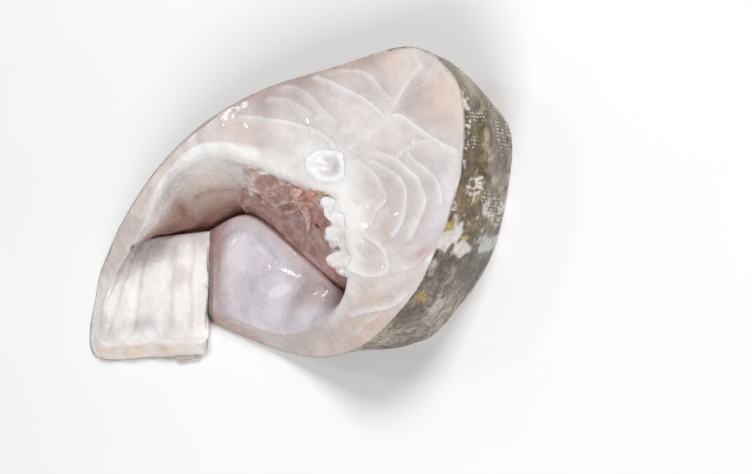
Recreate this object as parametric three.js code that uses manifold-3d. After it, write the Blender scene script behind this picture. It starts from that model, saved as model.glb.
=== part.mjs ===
// A raw cod steak: one thick slice through the belly cavity, lying on its back cut face.
// +Y points to the back fin, +X to the flank whose skin shows, +Z out of the shown cut face.
// The slice is a horseshoe: a thick back, two flanks and two thin belly flaps laid flat,
// whose ends meet under the cavity. The piece of backbone is a solid of its own.
import * as THREE from "three";
import { mergeVertices } from "three/addons/utils/BufferGeometryUtils.js";
import Module from "manifold-3d";

// Main sizes, in millimetres.
const THICKNESS = 45; // between the two cut faces
const CENTRE = [-0.6, -39.9]; // middle of the footprint, seen from the middle of the backbone
const STEPS = 8; // section planes per span of the table below
const RIM_ROUND = 0.9; // edge between cut face and skin
const LIP_ROUND = 2.2; // edge between cut face and cavity
const FOOT_ROUND = 1.2; // edges of the underside
const CRAG = 3.4; // reach of the broken bone and flesh into the cavity
const FLAKE = 0.5; // height of the steps between flakes on the cut face
const FLAKE_PITCH = 15; // distance between those steps
const RIDGE = 0.8; // height of the ridges on the folded left flap
const MEMBRANE = 1.1; // height of the strands under the backbone
const BULGE = 2.2; // how far the skin swells between the cut faces
const BONE_RADII = [9.4, 6.5]; // backbone across and along
const BONE_TURN = 0.51; // turn of its long axis from +X, in radians
const ARCH = 4.2; // how far its upper arch stands out towards the back fin
const ARCH_SPREAD = 0.42; // half width of that arch, in radians
const BONE_WALL = 2.4; // ring round the hollow in each end
const BONE_HOLLOW = 6; // depth of that hollow
const BONE_PROUD = 0.4; // how far the ring stands out of the cut face
const BONE_GAP = 0.3; // clearance between bone and flesh
const BONE_SIDES = 40;

// Section table from the free end of the left flap, over the back, to that of the right flap.
// rim: cut face meets skin. lip: cut face meets cavity. foot and heel: the same on the back.
const TABLE = [
  { at: "left flap end", rim: [-9, -106, 0.5], lip: [-10, -97.5, 8.5], foot: [-40, -63, 9], heel: [-39.5, -63.5, 0.5] },
  { at: "left flap", rim: [-27, -124, 0.5], lip: [-28.5, -114, 9.5], foot: [-55, -79, 10], heel: [-54.5, -79.5, 0.5] },
  { at: "left fold", rim: [-49, -141.5, 0.5], lip: [-47.5, -131, 8.5], foot: [-63, -87.5, 9.5], heel: [-63, -88, 0.5] },
  { at: "left corner", rim: [-66, -119, 3.5], lip: [-57, -111, 12.5], foot: [-62.5, -88, 12], heel: [-63, -88.5, 0.5] },
  { at: "left rise", rim: [-64, -95, 22], lip: [-55, -88, 24], foot: [-60, -84, 6], heel: [-61.5, -86.5, 0] },
  { at: "low arch", rim: [-60.5, -71, 37], lip: [-51, -70.5, 37], foot: [-52.7, -73.8, 0], heel: [-60.5, -71, 0] },
  { at: "arch", rim: [-58, -46.5, 44], lip: [-52, -48.5, 43], foot: [-44.8, -65.2, 0], heel: [-58, -46.5, 0] },
  { at: "high arch", rim: [-53.5, -21, 45], lip: [-45.5, -31.5, 45], foot: [-39.6, -57.3, 0], heel: [-53.5, -21, 0] },
  { at: "left flank", rim: [-42.5, 4.5, 45], lip: [-28.5, -21, 45], foot: [-32.3, -45.6, 0], heel: [-42.5, 4.5, 0] },
  { at: "left back", rim: [-24, 31, 45], lip: [-11.5, -15, 45], foot: [-19.5, -40.9, 0], heel: [-24, 31, 0] },
  { at: "fin line", rim: [-3.5, 57.5, 45], lip: [1.5, -10.5, 45], foot: [-9, -39.8, 0], heel: [-8, 52, 0] },
  { at: "right back", rim: [19, 59.5, 45], lip: [11.5, -6, 45], foot: [-3, -39.6, 0], heel: [12.5, 56.5, 0] },
  { at: "shoulder", rim: [34, 49, 45], lip: [13.5, -10, 45], foot: [3, -39.4, 0], heel: [33.5, 53, 0] },
  { at: "right flank", rim: [47.5, 30.5, 45], lip: [18, -14.5, 45], foot: [9, -39.2, 0], heel: [49, 34, 0] },
  { at: "right belly", rim: [57.5, 6, 45], lip: [24, -20.5, 45], foot: [15, -39, 0], heel: [61, 11, 0] },
  { at: "low belly", rim: [62, -16.5, 45], lip: [34, -23.5, 45], foot: [21.5, -39.2, 0], heel: [64.5, -13.5, 0] },
  { at: "turn", rim: [55.5, -43.5, 33], lip: [37, -36, 36], foot: [27.5, -40.2, 4], heel: [61.5, -34.5, 0] },
  { at: "low turn", rim: [38.5, -65, 14], lip: [30.5, -54, 21], foot: [22.5, -40, 11], heel: [40, -43, 0] },
  { at: "right flap", rim: [18, -79, 3], lip: [17, -71.5, 11], foot: [5, -41, 12.5], heel: [5, -41, 0.5] },
  { at: "fold in flap", rim: [-1, -87.5, 1], lip: [-1.5, -80.5, 9.5], foot: [-27, -44, 13], heel: [-27, -44.5, 0.5] },
  { at: "right flap end", rim: [-15, -93, 0.5], lip: [-15.5, -85.5, 9.5], foot: [-39, -60.5, 9], heel: [-38.5, -61, 0.5] },
];
const LAST = TABLE.length - 1;

const vec = (a) => new THREE.Vector3(a[0], a[1], a[2]);
const mix = (a, b, t) => a.clone().lerp(b, t);
// 1 inside the stretch from a to b of the section table, fading to 0 over half a span.
const within = (u, a, b) => THREE.MathUtils.smoothstep(u, a - 0.5, a) * (1 - THREE.MathUtils.smoothstep(u, b, b + 0.5));

// A corner of the section at position u, on a smooth curve through the table.
function railAt(key, u) {
  const i = Math.min(Math.floor(u), LAST - 1);
  const t = u - i;
  const [a, b, c, d] = [-1, 0, 1, 2].map((k) => TABLE[Math.min(Math.max(i + k, 0), LAST)][key]);
  const blend = (k) => b[k] + 0.5 * t * (c[k] - a[k]
    + t * (2 * a[k] - 5 * b[k] + 4 * c[k] - d[k] + t * (3 * (b[k] - c[k]) + d[k] - a[k])));
  return new THREE.Vector3(blend(0), blend(1), THREE.MathUtils.clamp(blend(2), 0, THICKNESS));
}

// How far broken pieces stand out over the cavity at the right of the backbone.
function cragAt(u) {
  const jag = 0.55 + 0.6 * Math.sin(11.3 * u) + 0.35 * Math.sin(24.1 * u + 1.2);
  return CRAG * Math.max(jag, 0) * within(u, 11.2, 14.6);
}

// The four corners of the section, with the crags on the lip.
function cornersAt(u) {
  const [rim, lip, foot, heel] = ["rim", "lip", "foot", "heel"].map((key) => railAt(key, u));
  const inward = lip.clone().sub(rim).setZ(0).normalize();
  lip.addScaledVector(inward, cragAt(u));
  return [rim, lip, foot, heel];
}

// Height of the surface relief on one side of the section.
function reliefAt(side, u, s, p) {
  const fade = Math.sin(Math.PI * s);
  if (side === 0) {
    const reach = Math.hypot(p.x - Math.sign(p.x + 2) * 22, p.y - 6);
    const flakes = FLAKE * Math.sin((2 * Math.PI * reach) / FLAKE_PITCH) * within(u, 6, 15.5);
    const lobes = 1.1 * Math.abs(Math.sin(Math.PI * (1.35 * u + 0.1))) * within(u, 0, 2);
    return fade * (flakes + lobes);
  }
  if (side === 1) {
    const ridges = RIDGE * Math.sin(2 * Math.PI * 2.3 * u) * within(u, 0, 2.2);
    const strands = MEMBRANE * Math.sin(19.5 * u + 3 * s) * within(u, 8.8, 13.5);
    const fold = (2.4 - 1.6 * Math.sin(7 * u + 2 * s)) * within(u, 17.5, 19.4);
    const hollow = -2.5 * within(u, 6, 9);
    return fade * (ridges + strands + fold + hollow);
  }
  if (side === 3) {
    return fade * BULGE * (within(u, 10.5, 16) + 0.5 * within(u, 4.5, 9));
  }
  return 0;
}

// One closed ring of points round the section at position u.
function sectionAt(u) {
  const corners = cornersAt(u);
  const centre = corners.reduce((a, b) => a.add(b), vec([0, 0, 0])).multiplyScalar(0.25);
  const before = cornersAt(Math.max(u - 0.05, 0));
  const after = cornersAt(Math.min(u + 0.05, LAST));
  const along = vec([0, 0, 0]);
  corners.forEach((_, k) => along.add(after[k]).sub(before[k]));
  const rounds = [RIM_ROUND, LIP_ROUND, FOOT_ROUND, FOOT_ROUND];
  const inner = [8, 6, 2, 4];
  const ring = [];
  corners.forEach((a, side) => {
    const next = (side + 1) % 4;
    const b = corners[next];
    const run = b.clone().sub(a);
    const length = run.length();
    const out = run.clone().cross(along).normalize();
    if (out.dot(mix(a, b, 0.5).sub(centre)) < 0) {
      out.negate();
    }
    const from = Math.min(rounds[side] / length, 0.2);
    const to = 1 - Math.min(rounds[next] / length, 0.2);
    for (let k = 0; k < inner[side]; k += 1) {
      const s = from + ((to - from) * k) / (inner[side] - 1);
      const p = mix(a, b, s);
      const height = reliefAt(side, u, (s - from) / (to - from), p);
      p.addScaledVector(out, height);
      ring.push(p.setZ(Math.max(p.z, 0)));
    }
  });
  return ring;
}

// Triangles of a tube through equal rings, closed by a fan at each end.
function tube(rings) {
  const count = rings[0].length;
  const points = rings.flat();
  const index = [];
  for (let r = 0; r < rings.length - 1; r += 1) {
    for (let k = 0; k < count; k += 1) {
      const a = r * count + k;
      const b = r * count + ((k + 1) % count);
      index.push(a, b, a + count, b, b + count, a + count);
    }
  }
  [0, rings.length - 1].forEach((r) => {
    const middle = rings[r].reduce((a, b) => a.add(b), vec([0, 0, 0])).multiplyScalar(1 / count);
    const tip = points.push(middle) - 1;
    for (let k = 0; k < count; k += 1) {
      const a = r * count + k;
      const b = r * count + ((k + 1) % count);
      index.push(...(r === 0 ? [b, a, tip] : [a, b, tip]));
    }
  });
  const geometry = new THREE.BufferGeometry().setFromPoints(points);
  geometry.setIndex(index);
  return volumeOf(geometry) < 0 ? flipped(geometry) : geometry;
}

function volumeOf(geometry) {
  const position = geometry.getAttribute("position");
  const index = geometry.getIndex().array;
  let sum = 0;
  for (let i = 0; i < index.length; i += 3) {
    const [a, b, c] = [0, 1, 2].map((k) => new THREE.Vector3().fromBufferAttribute(position, index[i + k]));
    sum += a.dot(b.cross(c)) / 6;
  }
  return sum;
}

function flipped(geometry) {
  const index = Array.from(geometry.getIndex().array);
  for (let i = 0; i < index.length; i += 3) {
    [index[i], index[i + 1]] = [index[i + 1], index[i]];
  }
  geometry.setIndex(index);
  return geometry;
}

// Outline of the backbone in plan, grown by extra.
function boneRing(scale, extra, z) {
  return Array.from({ length: BONE_SIDES }, (_, k) => {
    const angle = (2 * Math.PI * k) / BONE_SIDES;
    const c = Math.cos(angle - BONE_TURN) / BONE_RADII[0];
    const s = Math.sin(angle - BONE_TURN) / BONE_RADII[1];
    const away = Math.atan2(Math.sin(angle - Math.PI / 2), Math.cos(angle - Math.PI / 2));
    const arch = ARCH * Math.exp(-((away / ARCH_SPREAD) ** 2));
    const radius = (1 / Math.hypot(c, s)) * scale + arch * Math.max(1 - 3 * (1 - scale), 0) + extra;
    return new THREE.Vector3(radius * Math.cos(angle), radius * Math.sin(angle), z);
  });
}

// The backbone: a short column with a cone-shaped hollow in each end.
function backboneGeometry() {
  const top = THICKNESS + BONE_PROUD;
  const hollow = [0.12, 0.4, 0.72].map((scale) => [scale, BONE_HOLLOW * (1 - scale)]);
  const rings = hollow.map(([scale, depth]) => boneRing(scale, 0, depth));
  rings.push(boneRing(1 - BONE_WALL / 16, 0, 0.5), boneRing(1, -0.8, 0), boneRing(1, 0, 0.9));
  rings.push(boneRing(1, 0, top / 2), boneRing(1, 0, top - 0.9), boneRing(1, -0.8, top));
  rings.push(boneRing(1 - BONE_WALL / 16, 0, top - 0.5));
  hollow.reverse().forEach(([scale, depth]) => rings.push(boneRing(scale, 0, top - depth)));
  return tube(rings);
}

function channelGeometry() {
  return tube([boneRing(1, BONE_GAP, -5), boneRing(1, BONE_GAP, THICKNESS / 2), boneRing(1, BONE_GAP, THICKNESS + 5)]);
}

function fleshGeometry() {
  const rings = [];
  for (let k = 0; k <= LAST * STEPS; k += 1) {
    rings.push(sectionAt(k / STEPS));
  }
  return tube(rings);
}

const wasm = await Module();
wasm.setup();

function toManifold(geometry) {
  const bare = new THREE.BufferGeometry();
  bare.setAttribute("position", geometry.getAttribute("position"));
  bare.setIndex(geometry.getIndex());
  const merged = mergeVertices(bare, 1e-3);
  return new wasm.Manifold(new wasm.Mesh({
    numProp: 3,
    vertProperties: new Float32Array(merged.getAttribute("position").array),
    triVerts: new Uint32Array(merged.getIndex().array),
  }));
}

function fromManifold(solid) {
  const mesh = solid.getMesh();
  const geometry = new THREE.BufferGeometry();
  geometry.setAttribute("position", new THREE.BufferAttribute(new Float32Array(mesh.vertProperties), 3));
  geometry.setIndex(Array.from(mesh.triVerts));
  return geometry;
}

function named(name, geometry, material) {
  geometry.translate(-CENTRE[0], -CENTRE[1], 0);
  geometry.computeVertexNormals();
  const mesh = new THREE.Mesh(geometry, material);
  mesh.name = name;
  return mesh;
}

const fleshMaterial = new THREE.MeshStandardMaterial({ color: "#e2d6d4", roughness: 0.42, metalness: 0 });
const boneMaterial = new THREE.MeshStandardMaterial({ color: "#e9e2dc", roughness: 0.45, metalness: 0 });

const flesh = toManifold(fleshGeometry()).subtract(toManifold(channelGeometry()));

const part = new THREE.Group();
part.name = "cod_steak";
part.add(named("flesh", fromManifold(flesh), fleshMaterial));
part.add(named("backbone", backboneGeometry(), boneMaterial));

export default part;
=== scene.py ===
"""A raw cod steak lying on its back cut face: flesh, skin with scales, backbone, torn membranes.

Lengths are in millimetres, measured from the middle of the backbone, until a mesh is made.
+Y points to the back fin, +X to the near flank, +Z out of the shown cut face."""
import math

import bpy
import numpy as np
from mathutils import Matrix, Vector


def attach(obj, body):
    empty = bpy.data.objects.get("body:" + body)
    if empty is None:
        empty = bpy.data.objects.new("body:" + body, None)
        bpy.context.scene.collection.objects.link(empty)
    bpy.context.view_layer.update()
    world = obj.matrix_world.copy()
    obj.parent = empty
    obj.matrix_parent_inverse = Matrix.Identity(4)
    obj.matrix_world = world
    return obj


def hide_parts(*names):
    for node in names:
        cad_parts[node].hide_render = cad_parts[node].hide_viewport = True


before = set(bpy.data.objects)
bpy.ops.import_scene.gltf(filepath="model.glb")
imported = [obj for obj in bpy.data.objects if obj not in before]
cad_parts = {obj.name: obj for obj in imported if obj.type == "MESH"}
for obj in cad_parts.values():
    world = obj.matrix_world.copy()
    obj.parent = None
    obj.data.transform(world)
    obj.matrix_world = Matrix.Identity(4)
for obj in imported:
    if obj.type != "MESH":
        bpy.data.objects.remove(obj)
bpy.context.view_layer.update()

THICKNESS = 45.0  # between the two cut faces
CENTRE = np.array([-0.6, -39.9, 0.0])  # middle of the footprint, from the middle of the backbone
BONE_RADII = (9.4, 6.5)  # backbone across and along
BONE_TURN = 0.51  # turn of its long axis from +X, in radians
ARCH_REACH = 1.6  # how far its worn upper arch stands out towards the back fin
ARCH_SPREAD = 0.42  # half width of that arch, in radians
BONE_PROUD = 0.45  # how far the ring stands out of the cut face
BONE_SUNK = 8.0  # how far the flesh lies under the ring's ends
CRAG = 3.4  # reach of the broken bone and flesh into the cavity
WORN = 5.2  # how far the cut face ends short of them
BULGE = 2.2  # how far the skin swells out between the cut faces
SKIN_DEEP = 1.0
FACE_ROOM = 0.6  # how far flesh may rise over the cut face
SKIN_ROOM = 0.95  # the same for skin and lining
TORN_RINGS = 6  # sections at a free end of a flap that take part in its tear
RIM, LIP, FOOT, HEEL = range(4)

# Sections from the free end of the left flap, over the back, to that of the right flap: where
# the cut face meets the skin and the cavity, then the same two edges of the back cut face.
SECTIONS = np.array([
    [[-9, -106, 0.5], [-10, -97.5, 8.5], [-40, -63, 9], [-39.5, -63.5, 0.5]],
    [[-27, -124, 0.5], [-28.5, -114, 9.5], [-55, -79, 10], [-54.5, -79.5, 0.5]],
    [[-49, -141.5, 0.5], [-47.5, -131, 8.5], [-63, -87.5, 9.5], [-63, -88, 0.5]],
    [[-66, -119, 3.5], [-57, -111, 12.5], [-62.5, -88, 12], [-63, -88.5, 0.5]],
    [[-64, -95, 22], [-55, -88, 24], [-60, -84, 6], [-61.5, -86.5, 0]],
    [[-60.5, -71, 37], [-51, -70.5, 37], [-52.7, -73.8, 0], [-60.5, -71, 0]],
    [[-58, -46.5, 44], [-52, -48.5, 43], [-44.8, -65.2, 0], [-58, -46.5, 0]],
    [[-53.5, -21, 45], [-45.5, -31.5, 45], [-39.6, -57.3, 0], [-53.5, -21, 0]],
    [[-42.5, 4.5, 45], [-28.5, -21, 45], [-32.3, -45.6, 0], [-42.5, 4.5, 0]],
    [[-24, 31, 45], [-11.5, -15, 45], [-19.5, -40.9, 0], [-24, 31, 0]],
    [[-3.5, 57.5, 45], [1.5, -10.5, 45], [-9, -39.8, 0], [-8, 52, 0]],
    [[19, 59.5, 45], [11.5, -6, 45], [-3, -39.6, 0], [12.5, 56.5, 0]],
    [[34, 49, 45], [13.5, -10, 45], [3, -39.4, 0], [33.5, 53, 0]],
    [[47.5, 30.5, 45], [18, -14.5, 45], [9, -39.2, 0], [49, 34, 0]],
    [[57.5, 6, 45], [24, -20.5, 45], [15, -39, 0], [61, 11, 0]],
    [[62, -16.5, 45], [34, -23.5, 45], [21.5, -39.2, 0], [64.5, -13.5, 0]],
    [[55.5, -43.5, 33], [37, -36, 36], [27.5, -40.2, 4], [61.5, -34.5, 0]],
    [[38.5, -65, 14], [30.5, -54, 21], [22.5, -40, 11], [40, -43, 0]],
    [[18, -79, 3], [17, -71.5, 11], [5, -41, 12.5], [5, -41, 0.5]],
    [[-1, -87.5, 1], [-1.5, -80.5, 9.5], [-27, -44, 13], [-27, -44.5, 0.5]],
    [[-15, -93, 0.5], [-15.5, -85.5, 9.5], [-39, -60.5, 9], [-38.5, -61, 0.5]],
], float)
LAST = len(SECTIONS) - 1

# Thin white sheets between the muscles on a cut face: width, strength, how much the flake
# inside each stands over the next, then points on the line.
SHEETS = [
    (2.0, 0.55, 0, [(1, 7), (3.6, 14), (6, 22), (6.8, 31), (5, 42), (4.5, 54)]),
    (3.0, 0.45, 0, [(4, 17), (6, 24), (6.9, 32)]),
    (1.2, 0.4, 0, [(9.3, 55), (9.6, 50), (8.2, 44)]),
    (1.1, 0.5, 0.8, [(5, 37.5), (-8, 38), (-17, 35), (-24, 29)]),
    (1.2, 0.65, 1, [(6.5, 31), (-6, 30), (-14, 28), (-28, 23.5)]),
    (1.8, 0.3, 0.5, [(-10, 16), (-20, 15.5), (-28, 16), (-36, 12)]),
    (1.2, 0.55, 1, [(-3, 8.6), (-14, 7.8), (-24, 3), (-43, -9)]),
    (1.6, 0.3, 0.5, [(-22, 11), (-31, 9), (-38, 4)]),
    (1.2, 0.8, 1, [(7, 33), (13, 35.7), (26, 36.5), (38, 39.5)]),
    (1.0, 0.4, 0.6, [(27, 36), (23, 30), (21.5, 21)]),
    (1.0, 0.6, 0.8, [(22, 27), (30, 26), (40, 25.6), (47, 21)]),
    (1.1, 0.8, 1, [(14, 19), (25, 21.5), (36, 20), (43.5, 13.7), (46.5, 3)]),
    (1.0, 0.65, 1, [(15, 15), (25, 17), (33, 14), (38.5, 7), (40.5, -1)]),
    (1.1, 0.5, 0.8, [(9, 11), (20, 10.6), (28, 7), (29, 0), (31, -5)]),
    (1.5, 0.4, 0, [(9, 2), (11, -4), (18, -9), (28, -11)]),
    (1.0, 0.65, 0.8, [(32, -10), (40, -8.8), (47.5, -13), (44, -19.5), (37, -23)]),
    (1.0, 0.8, 1, [(60, -16), (57, -23), (51, -30), (45, -38)]),
    (0.9, 0.5, 0.5, [(54, -30.5), (51.5, -36), (50, -43)]),
    (1.1, 0.4, 0.6, [(50, -11), (54.5, -5), (55, 2)]),
]
FLAKE_PITCH = 6.4


# Large odd numbers that scramble a cell's place, and how far apart seeds lie in cells.
HASH = np.array([73856093, 19349663, 83492791])
HASH_MIX = 1274126177
SEED_SHIFT = 31.7


def step(x, low, high):
    """0 below low, 1 above high, smooth between."""
    t = np.clip((x - low) / (high - low), 0, 1)
    return t * t * (3 - 2 * t)


def drop(x, low, high):
    """1 below low, 0 above high, smooth between."""
    return 1 - step(x, low, high)


def within(u, low, high, fade=0.5):
    """1 on the stretch from low to high of the section table, fading to 0 beyond it."""
    return step(u, low - fade, low) * drop(u, high, high + fade)


def bump(x, middle, width):
    """1 in the middle, fading out over about the width each way."""
    return np.exp(-(((x - middle) / width) ** 2))


def spot(x, y, middle_x, middle_y, size_x, size_y=None):
    """1 at a place, fading out round it."""
    return bump(x, middle_x, size_x) * bump(y, middle_y, size_y or size_x)


def lumps(points, size, seed):
    """Smooth random relief from -1 to 1, with lumps of about the given size."""
    scaled = np.asarray(points, float) / size + SEED_SHIFT * (seed + 1)
    cell = np.floor(scaled).astype(np.int64)
    t = scaled - cell
    t = t * t * (3 - 2 * t)
    total = np.zeros(scaled.shape[:-1])
    for corner in range(8):
        side = np.array([(corner >> k) & 1 for k in range(3)])
        code = np.bitwise_xor.reduce((cell + side) * HASH, axis=-1)
        code = (code ^ (code >> 13)) * HASH_MIX & 0x7FFFFFFF
        total += np.prod(np.where(side, t, 1 - t), axis=-1) * ((code % 65536) / 32768.0 - 1)
    return total


def unit(vectors):
    """The vectors at length 1."""
    return vectors / np.maximum(np.linalg.norm(vectors, axis=-1, keepdims=True), 1e-9)


def curve(a, b, c, d, t):
    """From b at t = 0 to c at t = 1, smooth on through a and d."""
    return b + 0.5 * t * (c - a + t * (2 * a - 5 * b + 4 * c - d + t * (3 * (b - c) + d - a)))


def smooth_line(points, pieces=7):
    """The points joined by a smooth curve, as a finer list of points."""
    p = np.array([points[0], *points, points[-1]], float)
    t = np.linspace(0, 1, pieces, endpoint=False)[:, None]
    return np.concatenate([curve(*four, t) for four in zip(p, p[1:], p[2:], p[3:])] + [p[-1:]])


def crags(u):
    """How far broken bone and flesh stand out over the cavity at the right of the backbone."""
    return CRAG * np.maximum(0.4 + 0.25 * np.sin(11.3 * u), 0) * within(u, 11.2, 14.6)


def worn_back(u):
    """How far the cut face ends short of those broken ends."""
    return 0.8 * crags(u) + WORN * within(u, 12.8, 14.3, 0.7)


def inward_at(corners):
    """Level unit vectors from the skin towards the cavity."""
    return unit((corners[:, LIP] - corners[:, RIM]) * [1, 1, 0])


def corners_at(u):
    """The four corners of the section at each place u, on a smooth curve through the table."""
    i = np.minimum(np.floor(u).astype(int), LAST - 1)
    p = curve(*(SECTIONS[np.clip(i + k, 0, LAST)] for k in (-1, 0, 1, 2)), (u - i)[:, None, None])
    p[..., 2] = np.clip(p[..., 2], 0, THICKNESS)
    p[:, LIP] += inward_at(p) * crags(u)[:, None]
    return p


def swelling(u):
    """How far the skin stands out along the table, half way between the two cut faces."""
    return BULGE * (within(u, 10.5, 16) + 0.5 * within(u, 4.5, 9))


def ring_outline(angle):
    """Radius of the backbone's outline in plan at an angle round its middle."""
    turned = angle - BONE_TURN
    oval = 1 / np.hypot(np.cos(turned) / BONE_RADII[0], np.sin(turned) / BONE_RADII[1])
    arch = ARCH_REACH * bump(np.angle(np.exp(1j * (angle - math.pi / 2))), 0, ARCH_SPREAD)
    return (oval + arch) * (1 + 0.02 * np.sin(5 * angle + 1) + 0.012 * np.sin(11 * angle))


def distance_to_line(x, y, points, centre=(0, 0)):
    """Distance to a smooth line, and whether a place is nearer the centre than the line is."""
    line = smooth_line(points)
    best = np.full(x.shape, 99.0)
    inner = np.zeros(x.shape, bool)
    for (ax, ay), (bx, by) in zip(line, line[1:]):
        dx, dy = bx - ax, by - ay
        t = np.clip(((x - ax) * dx + (y - ay) * dy) / max(dx * dx + dy * dy, 1e-9), 0, 1)
        nx, ny = ax + t * dx, ay + t * dy
        gap = np.hypot(x - nx, y - ny)
        nearer = np.hypot(x - centre[0], y - centre[1]) < np.hypot(nx - centre[0], ny - centre[1])
        inner = np.where(gap < best, nearer, inner)
        best = np.minimum(best, gap)
    return best, inner


def sheet_lines(x, y):
    """The nearest white sheet: how far beyond it a place lies in line widths, minus outside the
    flake that it wraps, how white it is there and how much that flake stands proud."""
    flat = np.stack([x, y, 0 * x], -1)
    x = x + 0.7 * lumps(flat, 9, 3) + 0.25 * lumps(flat, 4, 4)
    y = y + 0.7 * lumps(flat, 9, 5) + 0.25 * lumps(flat, 4, 6)
    best = np.full(x.shape, 99.0)
    found = [np.zeros(x.shape)] * 3
    for width, strength, proud, points in SHEETS:
        centre = (17, 0) if points[-1][0] > 4.6 and points[1][0] > 4 else (-10, -12)
        near, inner = distance_to_line(x, y, points, centre)
        here = (np.where(inner, near, -near) / width, strength * drop(near, 1.6, 3.4),
                proud * drop(near, 2.4, 5))
        found = [np.where(near < best, new, old) for new, old in zip(here, found)]
        best = np.minimum(best, near)
    return np.clip(found[0], -6, 6), found[1], found[2]


def flake_share(x, y):
    """How far a place lies through its flake, 0 to 1, as flakes nest outwards round the bone."""
    flat = np.stack([x, y, 0 * x], -1)
    right = np.hypot(x - 16, (y - 1) / 1.1)
    left = np.hypot((x + 8) / 1.7, (y + 12) / 0.95)
    place = np.where(x > 4, right, left) + 1.6 * lumps(flat, 19, 7) + 0.8 * lumps(flat, 7, 8)
    return np.mod(place, FLAKE_PITCH) / FLAKE_PITCH


def outward_normals(around, along, place, middle):
    """Normals from two tangents, turned so that most point away from the middle."""
    n = unit(np.cross(around, along))
    return n if np.mean(np.sum(n * (place - middle), -1)) > 0 else -n


def normals_of_sheet(place):
    return outward_normals(*np.gradient(place, axis=(1, 0)), place, place.reshape(-1, 3).mean(0))


class Loft:
    """The slice as a tube of fine sections, with its sides told apart."""

    def __init__(self, spans, rounds, points):
        fine = [np.linspace(i, i + 1, n, endpoint=False) for i, n in enumerate(spans)]
        self.u = np.concatenate(fine + [[LAST]])
        self.corners = corners_at(self.u)
        columns = []
        for side in range(4):
            columns += self.side_columns(side, (side + 1) % 4, rounds, points[side])
        place = self.place = np.stack([c[0] for c in columns], 1)
        self.side = np.array([c[1] for c in columns])
        self.s = np.array([c[2] for c in columns])
        around = np.roll(place, -1, axis=1) - np.roll(place, 1, axis=1)
        self.out = outward_normals(around, np.gradient(place, axis=0), place, place.mean(1, keepdims=True))

    def side_columns(self, side, after, rounds, count):
        """The points along one side, then those round the corner that follows it."""
        a, b = self.corners[:, side], self.corners[:, after]
        run, beyond = b - a, self.corners[:, (side + 2) % 4] - b
        reach = [np.broadcast_to(r(self.u) if callable(r) else r, self.u.shape) for r in rounds]
        length = np.linalg.norm(run, axis=1)
        start = np.minimum(reach[side] / length, 0.35)[:, None]
        end = 1 - np.minimum(reach[after] / length, 0.35)[:, None]
        far = np.minimum(reach[after] / np.linalg.norm(beyond, axis=1), 0.35)[:, None]
        found = []
        for k in range(count):
            s = k / (count - 1)
            found.append((a + run * (start + (end - start) * s), side, s))
        first, last = a + run * end, b + beyond * far
        for t in (0.2, 0.4, 0.6, 0.8):
            bend = first * (1 - t) ** 2 + b * 2 * t * (1 - t) + last * t * t
            found.append((bend, side if t < 0.5 else after, 1.0 if t < 0.5 else 0.0))
        return found


def quads_of_tube(count, around):
    """Quads between a count of rings, each of as many points as lie around it."""
    r, k = np.meshgrid(np.arange(count - 1), np.arange(around), indexing="ij")
    a, b = r * around + k, r * around + (k + 1) % around
    return np.stack([a, b, b + around, a + around], -1).reshape(-1, 4).tolist()


def caps(count, around):
    """One face over each end of a tube."""
    return [list(range(around))[::-1], list(range((count - 1) * around, count * around))]


def end_faces(count, around):
    """Quads that close both ends of a flat tube whose ring runs out and back."""
    half = around // 2
    faces = []
    for row, turned in ((0, False), (count - 1, True)):
        for k in range(half - 1):
            quad = [row * around + j for j in (k, k + 1, around - 2 - k, around - 1 - k)]
            faces.append(quad if turned else quad[::-1])
    return faces


# How rounded ends shrink, and how far out each ring of them lies.
END_RINGS = ((0.985, 0.35), (0.94, 0.7), (0.8, 0.95), (0.5, 1.0), (0.12, 1.0))


def rounded_ends(place, puff):
    """Closes both ends of a tube with a few shrinking rings that swell outwards."""
    ends = []
    for ring, before in ((place[0], place[1]), (place[-1], place[-2])):
        middle = ring.mean(0)
        outward = unit(middle - before.mean(0)) * puff
        ends.append(np.array([middle + (ring - middle) * k + outward * h for k, h in END_RINGS]))
    return np.concatenate([ends[0][::-1], place, ends[1]])


def placed(name, data):
    """An object of that data, in the scene."""
    holder = bpy.data.objects.new(name, data)
    bpy.context.scene.collection.objects.link(holder)
    return holder


def new_mesh(name, points, edges, faces, fields):
    """A mesh in the row frame, with colours, vectors and numbers of its points as attributes."""
    mesh = bpy.data.meshes.new(name)
    points = (np.asarray(points, float).reshape(-1, 3) - CENTRE) / 1000
    mesh.from_pydata(points.tolist(), edges, faces)
    mesh.update()
    for key, values in fields.items():
        kind, part = ("FLOAT", "value") if np.ndim(values) == 1 else ("FLOAT_VECTOR", "vector")
        if key == "tint":
            kind, part = "FLOAT_COLOR", "color"
            values = np.clip(values, 0, 1).reshape(-1, 3)
            values = np.concatenate([values, np.ones((len(values), 1))], 1)
        layer = mesh.attributes.new(key, kind, "POINT")
        layer.data.foreach_set(part, np.asarray(values, np.float32).ravel())
    return mesh


def make_piece(name, points, faces, material, **fields):
    """A smooth object whose faces point out."""
    mesh = new_mesh(name, points, [], faces, fields)
    mesh.polygons.foreach_set("use_smooth", [True] * len(mesh.polygons))
    mesh.materials.append(material)
    mesh.calc_loop_triangles()
    corners = np.zeros(len(mesh.loop_triangles) * 3, int)
    mesh.loop_triangles.foreach_get("vertices", corners)
    a, b, c = points_of(mesh)[corners.reshape(-1, 3).T]
    if np.sum(a * np.cross(b, c)) < 0:
        mesh.flip_normals()
    return placed(name, mesh)


def points_of(mesh):
    """Its points in metres, in the row frame."""
    points = np.zeros(len(mesh.vertices) * 3)
    mesh.vertices.foreach_get("co", points)
    return points.reshape(-1, 3)


def tube_piece(name, rings, material, closing=caps, **fields):
    """A piece from rings of points, closed at both ends."""
    faces = quads_of_tube(*rings.shape[:2]) + closing(*rings.shape[:2])
    return make_piece(name, rings, faces, material, **fields)


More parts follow.
